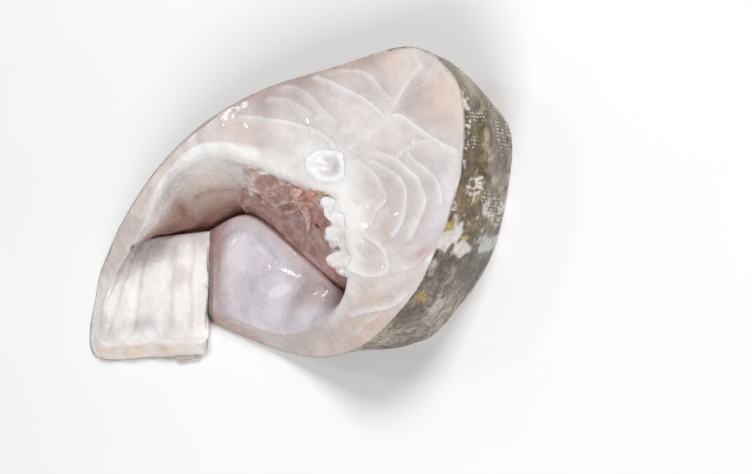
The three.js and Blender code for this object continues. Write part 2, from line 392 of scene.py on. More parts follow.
def sheet_piece(name, front, back, material, tint, back_tint=None):
    """A thin piece from its front and its back, kept between the table and the cut face."""
    ring = np.concatenate([front, back[:, ::-1]], 1)
    ring[..., 2] = np.clip(ring[..., 2], 0, THICKNESS + SKIN_ROOM)
    behind = tint[:, ::-1] if back_tint is None else np.broadcast_to(back_tint, tint.shape)
    tint = np.concatenate([tint, behind], 1)
    return tube_piece(name, ring, material, end_faces, tint=tint)


def evaluated(piece):
    """The mesh that an object's modifiers make."""
    bpy.context.view_layer.update()
    graph = bpy.context.evaluated_depsgraph_get()
    return bpy.data.meshes.new_from_object(piece.evaluated_get(graph))


def tone(colour):
    """A colour given as 0 to 255 on a screen, as the share of light that it sends back here."""
    return 0.97 * (np.array(colour) / 255) ** 2.2


def painted(base, coats):
    """A base, as light or as a screen colour, under coats of screen colour with their amounts."""
    base = base if isinstance(base, np.ndarray) else tone(base)
    for colour, amount in coats:
        base = base + (tone(colour) - base) * np.clip(amount, 0, 1)[..., None]
    return base


# ---------------------------------------------------------------- materials

def make_node(tree, kind, inputs, output=0, **settings):
    """Adds a node with its settings, sets or links its inputs, and gives one of its outputs."""
    node = tree.nodes.new(kind)
    for key, value in settings.items():
        setattr(node, key, value)
    for key, value in inputs.items():
        socket = node.inputs[key]
        if isinstance(value, bpy.types.NodeSocket):
            tree.links.new(value, socket)
        else:
            socket.default_value = (*value, 1) if socket.type == "RGBA" else value
    return node.outputs[output] if len(node.outputs) else None


class Look:
    """A material in the making. Each call adds a node and gives what comes out of it."""

    def __init__(self, name):
        self.material = bpy.data.materials.new(name)
        self.material.use_nodes = True
        self.material.node_tree.nodes.clear()
        self.places = {}

    def node(self, kind, inputs, output=0, **settings):
        return make_node(self.material.node_tree, "ShaderNode" + kind, inputs, output, **settings)

    def attribute(self, name, output="Color"):
        return self.node("Attribute", {}, output, attribute_name=name)

    def noise(self, scale, detail=3.0, rough=0.55, distort=0.0, tall=1):
        """Noise over the object in metres, drawn out upwards where tall is under 1."""
        if tall not in self.places:
            here = self.node("TexCoord", {}, "Object")
            self.places[tall] = self.node("Mapping", {"Vector": here, "Scale": (1, 1, tall)})
        return self.node("TexNoise", {"Vector": self.places[tall], "Scale": scale, "Detail": detail,
                                      "Roughness": rough, "Distortion": distort}, "Fac")

    def remap(self, value, low, high, to_low=0.0, to_high=1.0):
        ends = {"From Min": low, "From Max": high, "To Min": to_low, "To Max": to_high}
        return self.node("MapRange", {"Value": value, **ends}, "Result", interpolation_type="SMOOTHSTEP")

    def maths(self, kind, a, b=0):
        return self.node("Math", {0: a, 1: b}, operation=kind)

    def times(self, first, *more):
        for value in more:
            first = self.maths("MULTIPLY", first, value)
        return first

    def mix(self, amount, a, b, kind="MIX"):
        return self.node("Mix", {0: amount, 6: a, 7: b}, 2, data_type="RGBA", blend_type=kind)

    def relief(self, height, depth, strength, under=None):
        inputs = {"Strength": strength, "Distance": depth, "Height": height}
        return self.node("Bump", inputs if under is None else {**inputs, "Normal": under})

    def finish(self, colour, roughness, **inputs):
        """The surface, with the names of its other inputs written with underscores."""
        inputs = {key.replace("_", " "): value for key, value in inputs.items()}
        surface = self.node("BsdfPrincipled", {"Base Color": colour, "Roughness": roughness, **inputs})
        self.node("OutputMaterial", {"Surface": surface})
        return self.material


def flesh_material():
    """Wet, milky fish: crisp white sheets between the flakes, clouds under a glassy surface."""
    look = Look("wet cod flesh")
    parts = look.node("SeparateXYZ", {0: look.attribute("sheet", "Vector")})
    beyond, white, rise = parts.node.outputs
    near = look.maths("ABSOLUTE", beyond)
    line = look.maths("MAXIMUM", look.remap(near, 0.12, 0.6, 1, 0), look.remap(near, 0.2, 2.4, 0.35, 0))
    lines = look.times(line, white, look.remap(look.noise(110, 3, 0.6), 0.34, 0.62, 0.3, 1))
    # The next two masks paint light on the inner side of each flake step and shade beyond it; the first
    # also raises the bump.
    lit = look.times(look.remap(beyond, 0.0, 3.6, 1, 0), look.maths("GREATER_THAN", beyond, 0), rise)
    painted_flake_shade = look.times(look.remap(beyond, -2.6, 0.0, 0, 1), look.maths("LESS_THAN", beyond, 0), rise)

    clouds = look.remap(look.noise(75, 4, 0.6), 0.32, 0.68)
    milk = look.mix(clouds, (0.88, 0.865, 0.87), (1.05, 1.05, 1.05))
    colour = look.mix(1.0, look.attribute("tint"), milk, "MULTIPLY")
    # Painted shade and painted light across each flake step.
    colour = look.mix(look.times(painted_flake_shade, 0.5), colour, (0.46, 0.41, 0.42))
    colour = look.mix(look.times(lit, 0.4), colour, (0.86, 0.85, 0.85))
    fibre = look.noise(700, 2, 0.5, tall=0.3)
    fleck = look.times(look.remap(fibre, 0.6, 0.78), 0.12)
    colour = look.mix(look.maths("MAXIMUM", lines, fleck), colour, (0.93, 0.92, 0.91))
    surface = None
    for height, depth, strength in ((fibre, 0.0003, 0.25), (look.noise(130, 3, 0.5), 0.0025, 0.4),
                                    (look.noise(480, 3, 0.6), 0.0009, 0.6), (lit, 0.0005, 0.35),
                                    (lines, 0.0003, 0.3)):
        surface = look.relief(height, depth, strength, surface)
    return look.finish(colour, look.remap(look.noise(150), 0.35, 0.7, 0.18, 0.42), Normal=surface,
                       Subsurface_Weight=0.4, Subsurface_Radius=(1.0, 0.75, 0.65),
                       Subsurface_Scale=0.003, IOR=1.38, Coat_Weight=0.42, Coat_Roughness=0.05)


def skin_material():
    """Olive-brown skin with dark and pale flecks under a wet shine."""
    look = Look("wet cod skin")
    tint = look.attribute("tint")
    marked = look.remap(tint, 0.3, 0.65, 1.0, 0.25)
    blotch = look.remap(look.noise(130, 5, 0.65, 1.2), 0.38, 0.62)
    dark = look.mix(blotch, (0.5, 0.47, 0.42), (1.25, 1.24, 1.2))
    fleck = look.remap(look.noise(700, 3, 0.7), 0.38, 0.62)
    light = look.mix(fleck, (0.62, 0.6, 0.57), (1.2, 1.19, 1.16))
    colour = look.mix(marked, look.mix(marked, tint, dark, "MULTIPLY"), light, "MULTIPLY")
    grain = look.relief(look.noise(1300, 3, 0.6), 0.0004, 0.5)
    surface = look.relief(look.noise(260, 4, 0.6), 0.0012, 0.6, grain)
    return look.finish(colour, look.remap(look.noise(300), 0.35, 0.65, 0.18, 0.42), Normal=surface,
                       Subsurface_Weight=0.06, Subsurface_Scale=0.001, Specular_IOR_Level=0.3,
                       Coat_Weight=0.25, Coat_Roughness=0.06)


def bone_material():
    """White gristly bone, slightly clear at its thin edges."""
    look = Look("moist bone")
    streak = look.remap(look.noise(420, 4, 0.6, tall=0.4), 0.35, 0.65)
    shade = look.mix(streak, (0.93, 0.92, 0.91), (1.03, 1.02, 1.02))
    colour = look.mix(1.0, look.attribute("tint"), shade, "MULTIPLY")
    surface = look.relief(look.noise(600, 4, 0.6), 0.0005, 0.3)
    return look.finish(colour, look.remap(streak, 0, 1, 0.25, 0.42), Normal=surface,
                       Subsurface_Weight=0.3, Subsurface_Radius=(1.0, 0.8, 0.7),
                       Subsurface_Scale=0.002, Coat_Weight=0.3, Coat_Roughness=0.1)


def membrane_material():
    """Torn wet lining, its colour from the mesh, veined and glossy."""
    look = Look("torn membrane")
    clot = look.remap(look.noise(260, 4, 0.6, 0.5), 0.38, 0.64)
    shade = look.mix(clot, (0.78, 0.66, 0.62), (1.12, 1.1, 1.08))
    colour = look.mix(1.0, look.attribute("tint"), shade, "MULTIPLY")
    vein = look.remap(look.noise(700, 3, 0.6, tall=0.35), 0.6, 0.74)
    colour = look.mix(look.times(vein, 0.35), colour, (0.74, 0.66, 0.62))
    return look.finish(colour, 0.3, Normal=look.relief(look.noise(520, 4), 0.0009, 0.6),
                       Subsurface_Weight=0.35, Subsurface_Radius=(1.0, 0.5, 0.4),
                       Subsurface_Scale=0.002, Coat_Weight=0.45, Coat_Roughness=0.1)


# ---------------------------------------------------------------- flesh

MILK = (229, 223, 221)
WHITE = (245, 242, 240)
GREYED = (204, 194, 192)
PEACH = (226, 202, 186)
PINKED = (228, 213, 206)
LILAC = (214, 209, 215)
TAN = (214, 190, 178)
BROWN = (178, 140, 126)
DULL_PINK = (196, 162, 156)
# Dark brown for painted shade in creases.
CREASE_SHADE = (136, 90, 82)
CHALK = (250, 247, 245)

# Furrows between the ribs of the folded flap: place along the table, half width, depth.
FURROWS = [(0.36, 0.045, 1.3), (0.72, 0.07, 1.9), (1.38, 0.06, 1.3), (1.86, 0.06, 1.2), (2.5, 0.12, 0.6)]
# Blobs on the cut face: strength, middle in plan, size.
WHITE_BY_BONE = [(1, 7.5, 6, 3.4), (1, -1.5, 7, 3.0), (1, 9.5, -4.5, 4.5)]
DUSKY = [(0.75, 14, 44, 9), (0.85, -32, 14, 10), (0.8, -38, 2, 8), (0.35, 30, 14, 8), (0.4, 8, 46, 6)]
PEACHY = [(0.7, 20, 52, 11), (0.5, 33, 46, 6), (0.5, -6, 48, 8), (0.7, 56, 2, 3.5), (0.6, 37, -1.5, 3),
          (0.6, -40, -14, 6), (0.5, 54, -34, 12), (0.4, -20, 33, 6)]


def lobe_edges(u):
    """How deep the furrows between the ribs of the folded flap are at u."""
    return np.max([depth * bump(u, middle, width) for middle, width, depth in FURROWS], axis=0)


def near_lobes(u):
    """0 to 1 over each lobe of the folded flap's near cut."""
    return np.abs(np.sin(np.pi * (1.9 * u + 0.16)))


def fold_line(s):
    """Where the folded flap starts against the end of the arch, at height s on the inner side."""
    return 4.02 - 0.55 * s


def flesh_relief(u, s, side, p, ridge):
    """Height of the surface over the plain loft, in millimetres."""
    top, wall = side == RIM, side == LIP
    fade = np.sin(np.pi * s)
    fine = 0.14 * lumps(p, 3.2, 1) + 0.35 * lumps(p, 11, 2)

    swell = 0.25 * np.sin(np.pi * flake_share(p[..., 0], p[..., 1])) + 0.25 * ridge
    height = top * (swell * within(u, 5.5, 15.6) + fine) * fade ** 0.6
    height += (side == FOOT) * 0.25 * np.minimum(fine, 0) * fade
    height += top * 1.5 * near_lobes(u) ** 0.6 * within(u, 0, 2.0) * fade ** 0.5

    ribs = 0.9 - lobe_edges(u + 0.02 * np.sin(9 * s)) + 0.45 * lumps(p, 6, 5) + 0.2 * lumps(p, 2.5, 15)
    height += wall * ribs * within(u, 0, 2.8) * step(s, 0, 0.1) * drop(s, 0.93, 1)
    height -= wall * 1.5 * bump(u, fold_line(s), 0.09) * drop(s, 0.9, 1)
    creases = -1.2 * bump(s, 0.62 + 0.08 * (u - 7), 0.03) * within(u, 6.4, 7.3, 0.3)
    creases = creases - 1.2 * bump(s, 0.89 - 0.03 * np.sin(2 * u), 0.03)
    height += wall * (creases - 2.2 * fade + 0.8 * lumps(p, 12, 6)) * within(u, 6, 9)
    strands = 0.8 * lumps(p, 6, 7) + 0.3 * lumps(p, 2.4, 19)
    height += wall * strands * within(u, 8.8, 14.5) * fade ** 0.7
    foot = 1.4 * within(u, 4.8, 8.8, 0.4) + 3.2 * within(u, 9.2, 15.0, 0.4) + 1.2 * within(u, 9.4, 11.6)
    height += foot * (wall * step(s, 0.7, 0.93) + 0.6 * ((side == FOOT) & (s < 0.02)))

    lining = 2.2 - 1.4 * np.sin(7 * u + 2 * s) + 0.5 * lumps(p, 14, 10)
    seam = -1.2 * bump(s, 0.86 + 0.05 * np.sin(4 * u), 0.03) * within(u, 18.2, 19.6)
    dent = -0.9 * bump(u, 18.1 + 0.2 * np.sin(6 * s), 0.14) * step(s, 0.3, 0.5)
    height += wall * (lining * fade + seam + dent) * within(u, 17.5, 19.5)
    return height + (side == HEEL) * fade * swelling(u)


def flesh_colours(u, s, side, p):
    """The flesh's colour at each place along the table and share s of the way across a side."""
    x, y = p[..., 0], p[..., 1]
    top, wall, foot = side == RIM, side == LIP, side == FOOT
    face = top | foot
    share = flake_share(x, y)
    spots = lambda colour, table: [(colour, k * spot(x, y, *place) * face) for k, *place in table]

    # cut face: milky grey, whiter by the backbone and the cavity, peach at the back and the belly
    by_lip = step(s, 0.6, 0.95) * top * within(u, 5.5, 16.5)
    by_lip = by_lip * (1 - within(u, 5.0, 8.2) * drop(s, 0.86, 1.0))
    pinked = top * within(u, 3.9, 6.3) * (1 - 0.7 * step(s, 0.75, 1))
    belly = top * within(u, 15.4, 17.2) * drop(s, 0.5, 0.9)
    colour = painted(MILK, [
        (GREYED, 0.75 * step(lumps(p, 22, 11) + 0.35 * lumps(p, 8, 16), -0.3, 0.7) * face),
        (GREYED, 0.25 * step(share, 0.35, 0.9) * drop(share, 0.93, 1) * face),
        (WHITE, 0.75 * spot(x, y, -1, 1, 13) * face),
        (WHITE, 0.55 * spot(x, y, -20, 2, 12.8, 8) * face),
        ((250, 248, 246), 0.9 * spot(x, y, -13, -12, 9.9, 4.5) * face),
        *spots((252, 251, 250), WHITE_BY_BONE),
        (WHITE, 0.8 * by_lip),
        (WHITE, 0.5 * spot(x, y, 33, 34, 7) * face),
        *spots((190, 176, 176), DUSKY),
        *spots(PEACH, PEACHY),
        ((186, 158, 148), 0.6 * drop(s, 0.02, 0.22) * top * within(u, 5.2, 9.4)),
        ((232, 228, 232), 0.6 * bump(s, 0.08, 0.07) * top * within(u, 12.2, 14.2)),
        ((196, 138, 118), 0.9 * spot(x, y, 54.3, 1.2, 1.9, 2.85) * face),
        ((255, 253, 252), spot(x, y, 57.8, 2.0, 1.5, 2.4) * face),
        (PINKED, 0.75 * pinked),
        (PEACH, 0.45 * belly),
    ])

    # cavity wall: a thick white lip, then cream, tan and brown, darkest where it meets the table, where
    # the brown and the dark crease are painted shade
    left = within(u, 4.3, 8.6, 0.4) * wall
    middle = within(u, 8.7, 13.4, 0.35) * wall
    right = within(u, 13.2, 16.6, 0.4) * wall
    bright = within(u, 6.8, 9.4) * np.where(top, step(s, 0.84, 0.98), drop(s, 0.12, 0.32) * wall)
    colour = painted(colour, [
        (WHITE, left),
        ((252, 250, 248), 0.9 * bright * step(lumps(p, 7, 44), -0.8, 0.1)),
        ((240, 228, 220), 0.9 * left * step(s, 0.12, 0.34) * drop(u, 7.2, 8.0)),
        (TAN, left * step(s, 0.3 + 0.12 * (u - 6.5), 0.62 + 0.05 * (u - 6.5))),
        # Brown and a dark crease towards the wall's foot: painted shade.
        (BROWN, left * step(s, 0.62, 0.85)),
        (CREASE_SHADE, 0.9 * left * step(s, 0.84, 0.96)),
        # Brown on the wall at the end of the arch, behind the folded flap: painted shade.
        (BROWN, 0.85 * within(u, 4.2, 5.6, 0.35) * wall * step(s, 0.12, 0.5)),
        (BROWN, middle * step(s, 0.0, 0.1)),
        (DULL_PINK, middle * step(s, 0.35, 0.65)),
        ((150, 92, 82), 0.6 * step(lumps(p, 6, 12), 0.0, 0.5) * middle * step(s, 0.02, 0.2)),
        (DULL_PINK, right * step(s, 0.3, 0.7)),
        # A dark crease at the foot of the right wall: painted shade.
        (CREASE_SHADE, 0.8 * right * step(s, 0.9, 0.98)),
        (WHITE, 0.9 * within(u, 10.6, 15) * wall * drop(s, 0.12, 0.32)),
    ])

    # folded flap: chalky white, grey-lilac where it is thin, peach lobes on the near cut, painted shade in
    # its furrows and along its fold, and a cream left strip made lighter as painted light
    flap = drop(u, fold_line(s) - 0.1, fold_line(s) + 0.1) * wall
    thin = bump(u, 1.45, 0.42) * step(s, 0.72, 0.9) + 0.8 * spot(u, s, 1.2, 0.12, 0.4, 0.08)
    furrow_shade = np.clip(lobe_edges(u) / 1.9, 0, 1) * (0.6 + 0.4 * lumps(p, 7, 26))
    lobe = near_lobes(u) ** 0.5 * within(u, 0.5, 2.0, 0.25) * top * drop(s, 0.75, 1.0)
    colour = painted(colour, [
        (CHALK, flap),
        ((200, 192, 196), 0.75 * thin * wall),
        ((214, 205, 204), 0.6 * step(lumps(p, 8, 14), 0.0, 0.6) * flap),
        # Darker in the furrows between the ribs: painted shade.
        ((224, 216, 210), 0.8 * furrow_shade * flap),
        # A cream strip on the left side, made lighter as painted light.
        ((252, 246, 232), 0.85 * within(u, 2.3, 3.1, 0.3) * top),
        # A dark line along the fold against the arch: painted shade.
        ((140, 118, 112), 0.55 * bump(u, fold_line(s), 0.08) * wall),
        (CHALK, within(u, 0, 2.3, 0.3) * top),
        ((240, 218, 202), 0.85 * lobe),
    ])

    # right flap: smooth lilac lining, with mauve and brown painted shade towards the cavity and at its
    # free end, and a lighter spot of painted light on its bulge
    return painted(colour, [
        (LILAC, within(u, 17.2, 20) * wall),
        # Mauve towards the cavity, under the overhanging wall: painted shade.
        ((184, 168, 168), 0.85 * within(u, 16.4, 17.8) * wall * step(s, 0.15, 0.6)),
        # Darker towards the free end: painted shade.
        ((190, 168, 164), 0.6 * step(u, 19.1, 19.7) * wall),
        # A lighter spot on the bulge: painted light.
        ((222, 216, 224), 0.6 * spot(u, s, 18.9, 0.72, 0.5, 0.16) * wall),
        ((222, 204, 200), 0.6 * within(u, 18.1, 19.3, 0.3) * wall * step(s, 0.94, 0.99)),
        # Brown at the free end: painted shade.
        ((172, 140, 132), 0.85 * step(u, 19.3, 19.9) * wall * step(s, 0.3, 0.7)),
        ((204, 192, 190), 0.9 * within(u, 17.4, 20) * top),
        # Brown on the near cut towards the free end: painted shade.
        ((190, 160, 146), 0.8 * within(u, 18.7, 20) * top * drop(s, 0.6, 0.95)),
        ((190, 160, 156), within(u, 16.6, 19.5, 0.4) * foot),
        ((214, 200, 194), drop(u, 3.6, 4.4) * foot),
        # A dark line at the very free end, against the folded flap: painted shade.
        ((150, 118, 108), 0.8 * within(u, 19.93, 20, 0.05)),
    ])


def make_flesh(material):
    """The slice itself, its flaps with rounder edges than the cut through the thick of the fish."""
    flap = lambda u: 1 - within(u, 5, 16.5)
    lip = lambda u: 2.2 + 1.2 * within(u, 5, 8.6) - 0.6 * flap(u) - 1.3 * within(u, 11.4, 15)
    foot = lambda u: 1.2 + 1.6 * flap(u)
    loft = Loft([24] * 5 + [40] * 11 + [22] * 4, (0.9, lip, foot, 1.2), (78, 34, 18, 3))
    u, s = np.meshgrid(loft.u, loft.s, indexing="ij")
    side = np.broadcast_to(loft.side, u.shape)
    top, wall, under = side == RIM, side == LIP, side == FOOT
    beyond, white, rise = sheet_lines(loft.place[..., 0], loft.place[..., 1])
    ridge = rise * bump(beyond, 0, 1.4)
    place = loft.place + loft.out * flesh_relief(u, s, side, loft.place, ridge)[..., None]

    # the face ends short of the broken ends, and the skin takes up the flanks' outermost layer
    by_edge = worn_back(u) * (top * step(s, 0.62, 1.0) + wall * drop(s, 0.12, 0.42))
    place -= inward_at(loft.corners)[:, None] * by_edge[..., None]
    under_skin = SKIN_DEEP * np.clip(np.sin(np.pi * s), 0, 1) ** 0.25 * (side == HEEL)
    place -= loft.out * under_skin[..., None]

    # both faces sink over the backbone, which is a piece of its own
    x, y = place[..., 0], place[..., 1]
    inside = np.hypot(x, y) / ring_outline(np.arctan2(y, x))
    knobs = 0.7 * spot(x, y, 7.5, 6, 2.4) + 0.6 * spot(x, y, -1.5, 7, 2.2)
    sunk = BONE_SUNK * drop(inside, 0.78, 0.9) - knobs
    place[..., 2] += (under * np.maximum(sunk, 0) - top * sunk) * within(u, 8, 14)

    # the free ends of both flaps are torn
    along = unit(np.gradient(loft.corners.mean(1), axis=0))
    for row, heading, torn in ((0, -1, 2.0), (-1, 1, 1.0)):
        way = heading * along[row]
        for back in range(TORN_RINGS):
            ring = place[row - heading * back]
            rough = torn * (0.9 * lumps(ring, 5, 17) + 0.6 * lumps(ring, 2.2, 18))
            ring += way * rough[:, None] * (1 - back / TORN_RINGS)
    place[..., 2] = np.clip(place[..., 2], 0, THICKNESS + FACE_ROOM)

    tint = flesh_colours(u, s, side, loft.place)
    shown = (top | under) * within(u, 5.8, 16) * step(s, 0, 0.05) * drop(s, 0.95, 1)
    sheet = np.stack([beyond, white * shown, rise * shown], -1)
    added = len(END_RINGS)
    tint, sheet = (np.pad(field, ((added, added), (0, 0), (0, 0)), "edge") for field in (tint, sheet))
    return tube_piece("cod_flesh", rounded_ends(place, 1.3), material, tint=tint, sheet=sheet)


# ---------------------------------------------------------------- skin

OLIVE = (128, 110, 74)
GREY_BROWN = (142, 130, 120)
BELLY = (205, 198, 190)
# Near white, for a pale patch among the marks and for painted highlights.
PALE_PATCH_AND_HIGHLIGHT = (244, 241, 236)

# Marks on the skin, with one painted shadow among them: place along the table, height, half width, half
# height, strength, colour.
MARKS = [
    (12.35, 0.6, 0.42, 0.09, 0.85, (186, 170, 156)),
    (12.1, 0.35, 0.5, 0.2, 0.8, (112, 98, 76)),
    (12.6, 0.84, 0.5, 0.12, 0.75, (104, 86, 54)),
    (11.6, 0.72, 0.3, 0.1, 0.6, (146, 132, 112)),
    (12.85, 0.25, 0.12, 0.3, 0.8, (190, 168, 146)),
    (13.5, 0.5, 0.12, 0.6, 0.7, (120, 98, 62)),
    (13.2, 0.75, 0.2, 0.25, 0.5, (140, 118, 80)),
    (13.74, 0.84, 0.17, 0.12, 1.0, PALE_PATCH_AND_HIGHLIGHT),
    (13.9, 0.66, 0.13, 0.15, 1.0, (246, 238, 228)),
    (14.25, 0.93, 0.14, 0.05, 0.8, (222, 212, 202)),
    (13.8, 0.3, 0.13, 0.22, 0.85, (214, 213, 214)),
    (13.86, 0.46, 0.06, 0.06, 0.8, (140, 140, 142)),
    (14.35, 0.62, 0.16, 0.07, 0.5, (196, 190, 186)),
    (13.62, 0.95, 0.07, 0.07, 0.9, (196, 168, 84)),
    (13.74, 0.66, 0.04, 0.08, 0.9, (220, 200, 128)),
    (14.5, 0.82, 0.28, 0.12, 0.6, (118, 110, 104)),
    (14.86, 0.86, 0.13, 0.1, 0.85, (168, 144, 76)),
    (14.95, 0.55, 0.17, 0.12, 0.95, (222, 208, 196)),
    (15.45, 0.5, 0.2, 0.2, 0.7, (172, 164, 160)),
    (15.1, 0.4, 0.35, 0.25, 0.6, (182, 172, 164)),
    (14.6, 0.35, 0.3, 0.16, 0.6, (160, 150, 140)),
    (15.25, 0.8, 0.28, 0.18, 0.6, (98, 84, 72)),
    (15.2, 0.2, 0.3, 0.14, 0.6, (186, 172, 158)),
    (14.35, 0.16, 0.3, 0.16, 0.7, (104, 94, 92)),
    # Very dark where the skin turns under: painted shadow.
    (16.05, 0.4, 0.16, 0.34, 0.8, (70, 64, 60)),
    (6.3, 0.8, 0.25, 0.12, 0.6, (200, 190, 180)),
    (7.4, 0.4, 0.3, 0.15, 0.5, (170, 156, 120)),
    (8.5, 0.7, 0.3, 0.12, 0.5, (110, 94, 66)),
]

# Painted highlights: wet glints and streaks painted as silvery white on the skin: place, height, half
# width, half height.
PAINTED_HIGHLIGHTS = [
    (11.75, 0.93, 0.42, 0.05),
    (12.35, 0.965, 0.3, 0.02),
    (12.0, 0.95, 0.6, 0.035),
    (13.28, 0.24, 0.17, 0.3),
    (12.98, 0.72, 0.16, 0.14),
    (13.3, 0.95, 0.1, 0.03),
    (9.2, 0.5, 0.3, 0.1),
    (7.2, 0.7, 0.3, 0.06),
]
# Where the scales stand out as dots, painted pale as highlights: place, height, half width, half height.
DOTTED = [(12.1, 0.36, 0.55, 0.2), (13.25, 0.3, 0.2, 0.3), (9.0, 0.5, 0.9, 0.3), (7.0, 0.5, 0.7, 0.25)]


def oval(u, s, place, ragged):
    """Distance from an oval's middle, 1 at its edge, for a place, height and two half sizes."""
    at, tall, wide, high = place
    return np.hypot((u - at) / wide, (s - tall) / high) * ragged


def patches(u, s, table, ragged):
    """1 inside the ovals of a table, fading to 0 outside."""
    return np.max([drop(oval(u, s, place, ragged), 0.7, 1.25) for place in table], axis=0)


def skin_colours(u, s, p):
    """s runs from the back cut face, 0, to the shown one, 1."""
    ragged = 1 + 0.6 * lumps(p, 5.5, 21) + 0.35 * lumps(p, 2.0, 25)
    marks = [(tint, strength * drop(oval(u, s, place, ragged), 0.75, 1.3))
             for *place, strength, tint in MARKS]
    streaks = 1 + 0.5 * lumps(p * [0.5, 0.5, 1.6], 2.4, 28)
    specks = step(lumps(p * [1.3, 1.3, 0.35], 1.1, 42) + 0.5 * lumps(p, 5, 43), -0.1, 0.35)
    return painted(GREY_BROWN, [
        (OLIVE, within(u, 8.6, 13.4, 0.6)),
        ((104, 92, 82), 0.7 * step(lumps(p, 12, 20), 0.05, 0.5)),
        ((178, 166, 152), 0.55 * step(lumps(p, 9, 24), 0.15, 0.6)),
        (BELLY, np.maximum(drop(u, 3.0, 4.6), step(u, 17.2, 18.4))),
        *marks,
        # Wet glints and streaks painted as pale colour: painted highlights.
        (PALE_PATCH_AND_HIGHLIGHT, 0.95 * patches(u, s, PAINTED_HIGHLIGHTS, streaks) * specks),
        ((228, 222, 214), 0.85 * np.clip(bump(s, 0.0, 0.045) + 0.7 * bump(s, 1.0, 0.012), 0, 1)),
        ((70, 60, 46), 0.8 * bump(u, 9.85, 0.18) * step(s, 0.9, 0.97)),
    ])


def make_skin(material):
    """A thin wrap over the outer side, a little frayed where it was cut."""
    loft = Loft([16] * 5 + [40] * 11 + [16] * 4, (0.4, 2.2, 1.2, 0.4), (4, 4, 4, 60))
    outer, out = (field[:, loft.side == HEEL] for field in (loft.place, loft.out))
    u, s = np.meshgrid(loft.u, np.linspace(0, 1, outer.shape[1]), indexing="ij")
    fold = (1.1 * bump(s, 0.58, 0.12) - 0.9 * bump(s, 0.76, 0.07)) * within(u, 11.7, 12.9)
    slack = np.sin(np.pi * s) * (swelling(u) + 0.5 * lumps(outer, 16, 29)) + 0.12 * lumps(outer, 7, 22)
    outer = outer + out * (slack + fold)[..., None]
    upper = unit(loft.corners[:, RIM] - loft.corners[:, HEEL])[:, None]
    fray = step(s, 0.93, 1.0) * (0.5 + 0.5 * lumps(outer, 5, 23)) * (0.35 + 0.65 * within(u, 9.8, 13.5))
    outer = outer + upper * fray[..., None] * 0.9
    curl = step(s, 0.86, 1.0) * within(u, 0.0, 0.55, 0.25)
    outer = outer + upper * (curl * (1.8 + 1.4 * lumps(outer, 4, 27)))[..., None]
    outer[..., 2] += curl ** 2 * (0.9 + 0.9 * lumps(outer, 3, 28))
    inner = outer - out * (SKIN_DEEP * (0.75 + 0.25 * np.sin(np.pi * s)))[..., None]
    tint = skin_colours(u, s, outer)
    return sheet_piece("cod_skin", outer, inner, material, tint, tone((205, 196, 188))), u, s, outer


SCALE_ROWS = 1.45  # from one row of scales to the next
SCALE_STEP = 1.5  # from one scale to the next
SCALED = ((5.4, 9.4), (10.6, 13.7))  # stretches of the table that have scales
SCALE = {"Scale width": 0.0011, "Scale length": 0.0014, "Thickness": 0.00045, "Tilt": 0.08, "Seed": 7}
WOBBLE = (0.14, 0.1, 0.15)  # how far scales may be turned off their row, in radians


def make_scales(u, s, outer, material):
    """Rows of small scales over both flanks, laid towards the tail, plainest where they are dotted and
    painted pale there to stand in for glints.
    """
    seats, facing, lay, tint, at_u, at_s = ([] for _ in range(6))
    normal = normals_of_sheet(outer)
    middle = outer[:, outer.shape[1] // 2]
    length = np.concatenate([[0], np.cumsum(np.linalg.norm(np.diff(middle, axis=0), axis=1))])
    colours = skin_colours(u, s, outer)
    for first, last in SCALED:
        start, stop = np.interp([first, last], u[:, 0], length)
        for number, at in enumerate(np.arange(start, stop, SCALE_ROWS)):
            row = np.interp(at, length, np.arange(len(length)))
            i, t = int(row), row - int(row)
            line = outer[i] * (1 - t) + outer[i + 1] * t
            tall = np.linalg.norm(line[-1] - line[0])
            for k in np.arange(2 + SCALE_STEP / 2 * (number % 2), tall - 2, SCALE_STEP):
                where = k / tall * (outer.shape[1] - 1)
                j, w = int(where), where - int(where)
                seats.append(line[j] * (1 - w) + line[j + 1] * w)
                facing.append(normal[i, j])
                lay.append(line[0] - line[-1])
                tint.append(colours[i, j])
                at_u.append(u[i, 0] * (1 - t) + u[i + 1, 0] * t)
                at_s.append(k / tall)
    seats, facing, lay, tint, at_u, at_s = map(np.array, (seats, facing, lay, tint, at_u, at_s))
    rng = np.random.default_rng(21)
    dotted = patches(at_u, at_s, DOTTED, 1 + 0.9 * lumps(seats, 7, 41))
    dotted = dotted * (1 - 0.5 * (at_u < 10) * step(lumps(seats, 4, 45), -0.5, 0.4))
    # Pale dotted scales stand in for glints: painted highlights.
    bright = rng.uniform(0.2, 1.0, len(seats)) * dotted
    tint = painted(tint * (1 - 0.35 * dotted)[:, None], [((240, 232, 216), 0.95 * bright)])
    size = np.clip(0.55 + 0.4 * dotted + 0.2 * lumps(seats, 8, 40), 0.4, 1)
    seats = seats - facing * (0.04 + 0.22 * (1 - dotted))[:, None]
    keep = seats[:, 2] > 1.2
    fields = {"size": size, "facing": facing, "lay": lay, "tint": tint}
    fields = {key: values[keep] for key, values in fields.items()}
    seat = placed("scale_seats", new_mesh("scale_seats", seats[keep], [], [], fields))
    return grow(seat, "cod_scales", material, SCALE, scale_nodes)


